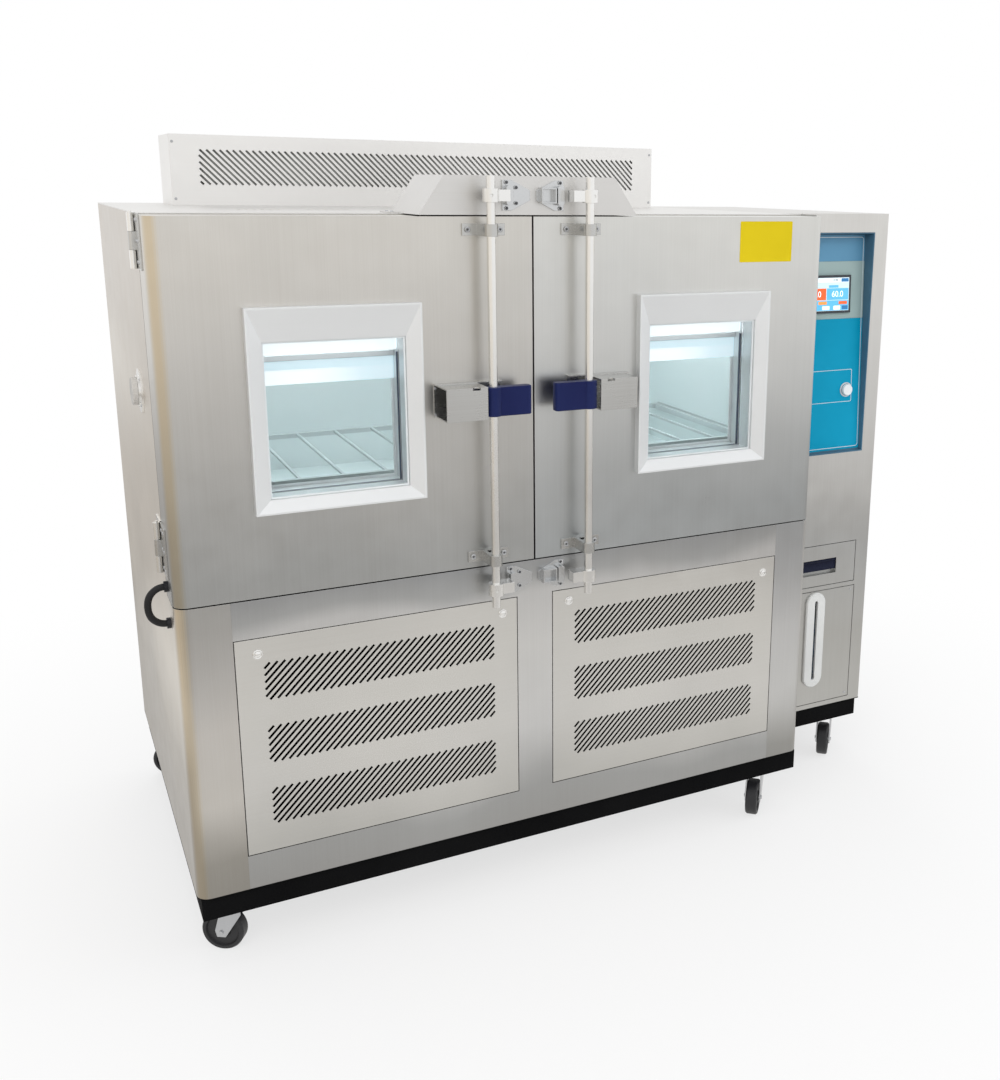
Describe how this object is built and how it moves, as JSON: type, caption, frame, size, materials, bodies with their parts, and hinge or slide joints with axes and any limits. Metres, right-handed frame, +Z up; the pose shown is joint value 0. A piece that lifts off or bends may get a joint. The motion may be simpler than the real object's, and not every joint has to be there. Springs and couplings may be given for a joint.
{
  "type": "environmental test chamber",
  "caption": "Floor-standing steel test chamber on casters: two insulated doors with windows and lever locks over vented panels, roof housings and a control column.",
  "frame": {"origin": "centre of the footprint of the whole chamber, on the floor under the wheels", "axes": "+Z up; the doors face -Y; +X to the right of someone facing the doors, towards the control column"},
  "size_m": [2.066, 1.172, 1.869],
  "materials": {
    "brushed_sheet": "brushed",
    "machined_steel": "satin",
    "window_frame": "satin",
    "glass": "clear",
    "black_frame": "matte",
    "insulation": "matte",
    "seal_rubber": "matte",
    "cable_rubber": "matte",
    "grey_rubber": "matte",
    "black_plastic": "matte",
    "navy_plastic": "satin",
    "zinc": "zinc plated",
    "wheel_grey": "matte",
    "panel_blue": "satin",
    "screen": "gloss",
    "button_white": "gloss",
    "white_plastic": "satin",
    "coil_aluminium": "satin"
  },
  "bodies": {
    "cabinet": {"side_skin_left": "brushed_sheet", "side_skin_right": "brushed_sheet", "rear_skin": "brushed_sheet", "top_skin": "brushed_sheet", "lower_front_frame": "brushed_sheet", "vent_panel_left": "brushed_sheet", "vent_panel_right": "brushed_sheet", "plinth": "black_frame", "caster_plates": "zinc", "insulation_walls": "insulation", "chamber_liner": "brushed_sheet", "air_baffle": "brushed_sheet", "air_handler": "coil_aluminium", "shelf": "brushed_sheet", "refrigeration_unit": "black_frame", "lock_housing": "brushed_sheet", "lock_keepers": "machined_steel", "rear_housing": "brushed_sheet", "hinge_fixed_leaves": "brushed_sheet", "port_flange": "brushed_sheet", "gland_body": "black_plastic", "door_cable": "cable_rubber", "column_shell": "brushed_sheet", "control_panel": "panel_blue", "touch_screen": "screen", "gauge_panel": "brushed_sheet", "level_gauge": "white_plastic", "water_tank": "white_plastic"},
    "door_left": {"door_left_skin": "brushed_sheet", "door_left_core": "insulation", "door_left_gasket": "seal_rubber", "window_frame_left": "window_frame", "window_glass_left": "glass", "door_fittings_left": "brushed_sheet", "gland_door": "black_plastic"},
    "door_right": {"door_right_skin": "brushed_sheet", "door_right_core": "insulation", "door_right_gasket": "seal_rubber", "window_frame_right": "window_frame", "window_glass_right": "glass", "door_fittings_right": "brushed_sheet"},
    "lock_left": {"lock_rod_left": "machined_steel", "grip_left": "navy_plastic"},
    "lock_right": {"lock_rod_right": "machined_steel", "grip_right": "navy_plastic"},
    "fan": {"circulation_fan": "coil_aluminium"},
    "flap": {"tank_flap": "brushed_sheet"},
    "latch": {"flap_latch": "black_plastic"},
    "button": {"button_light": "button_white"},
    "plug": {"port_plug": "grey_rubber"},
    "caster_1": {"caster_fork_1": "zinc"},
    "wheel_1": {"caster_wheel_1": "wheel_grey"},
    "caster_2": {"caster_fork_2": "zinc"},
    "wheel_2": {"caster_wheel_2": "wheel_grey"},
    "caster_3": {"caster_fork_3": "zinc"},
    "wheel_3": {"caster_wheel_3": "wheel_grey"},
    "caster_4": {"caster_fork_4": "zinc"},
    "wheel_4": {"caster_wheel_4": "wheel_grey"},
    "caster_5": {"caster_fork_5": "zinc"},
    "wheel_5": {"caster_wheel_5": "wheel_grey"}
  },
  "joints": [
    {"name": "door_left_swing", "type": "hinge", "parent": "cabinet", "child": "door_left", "pos_m": [-1.0071, -0.401, 1.2835], "axis": [0, 0, -1], "range_deg": [0, 110], "deforming": ["door_cable"]},
    {"name": "door_right_swing", "type": "hinge", "parent": "cabinet", "child": "door_right", "pos_m": [0.6469, -0.401, 1.2835], "axis": [0, 0, 1], "range_deg": [0, 110]},
    {"name": "lock_left_turn", "type": "hinge", "parent": "door_left", "child": "lock_left", "pos_m": [-0.2991, -0.564, 1.282], "axis": [0, 0, -1], "range_deg": [0, 100]},
    {"name": "lock_right_turn", "type": "hinge", "parent": "door_right", "child": "lock_right", "pos_m": [-0.0611, -0.564, 1.282], "axis": [0, 0, 1], "range_deg": [0, 100]},
    {"name": "fan_spin", "type": "hinge", "parent": "cabinet", "child": "fan", "pos_m": [-0.1801, 0.382, 1.285], "axis": [0, 1, 0], "continuous": true},
    {"name": "flap_swing", "type": "hinge", "parent": "cabinet", "child": "flap", "pos_m": [0.6984, -0.294, 0.6525], "axis": [0, 0, -1], "range_deg": [0, 95]},
    {"name": "latch_pull", "type": "hinge", "parent": "flap", "child": "latch", "pos_m": [0.8279, -0.301, 0.666], "axis": [-1, 0, 0], "range_deg": [0, 40], "stiffness_Nm_per_rad": 0.1},
    {"name": "button_press", "type": "slide", "parent": "cabinet", "child": "button", "axis": [0, 0.9991, -0.0425], "range_m": [0, 0.003], "stiffness_N_per_m": 400},
    {"name": "plug_pull", "type": "slide", "parent": "cabinet", "child": "plug", "axis": [-1, 0, 0], "range_m": [0, 0.15]},
    {"name": "caster_1_swivel", "type": "hinge", "parent": "cabinet", "child": "caster_1", "pos_m": [-0.9021, -0.442, 0.132], "axis": [0, 0, 1], "continuous": true},
    {"name": "wheel_1_spin", "type": "hinge", "parent": "caster_1", "child": "wheel_1", "pos_m": [-0.93397, -0.4213, 0.05], "axis": [-0.5446, -0.8387, 0], "continuous": true},
    {"name": "caster_2_swivel", "type": "hinge", "parent": "cabinet", "child": "caster_2", "pos_m": [0.5419, -0.442, 0.132], "axis": [0, 0, 1], "continuous": true},
    {"name": "wheel_2_spin", "type": "hinge", "parent": "caster_2", "child": "wheel_2", "pos_m": [0.51647, -0.47024, 0.05], "axis": [0.7431, -0.6691, 0], "continuous": true},
    {"name": "caster_3_swivel", "type": "hinge", "parent": "cabinet", "child": "caster_3", "pos_m": [0.9464, -0.234, 0.132], "axis": [0, 0, 1], "continuous": true},
    {"name": "wheel_3_spin", "type": "hinge", "parent": "caster_3", "child": "wheel_3", "pos_m": [0.92097, -0.26224, 0.05], "axis": [0.7431, -0.6691, 0], "continuous": true},
    {"name": "caster_4_swivel", "type": "hinge", "parent": "cabinet", "child": "caster_4", "pos_m": [-0.9021, 0.506, 0.132], "axis": [0, 0, 1], "continuous": true},
    {"name": "wheel_4_spin", "type": "hinge", "parent": "caster_4", "child": "wheel_4", "pos_m": [-0.93781, 0.519, 0.05], "axis": [-0.342, -0.9397, 0], "continuous": true},
    {"name": "caster_5_swivel", "type": "hinge", "parent": "cabinet", "child": "caster_5", "pos_m": [0.9464, 0.446, 0.132], "axis": [0, 0, 1], "continuous": true},
    {"name": "wheel_5_spin", "type": "hinge", "parent": "caster_5", "child": "wheel_5", "pos_m": [0.91069, 0.433, 0.05], "axis": [0.342, -0.9397, 0], "continuous": true}
  ]
}
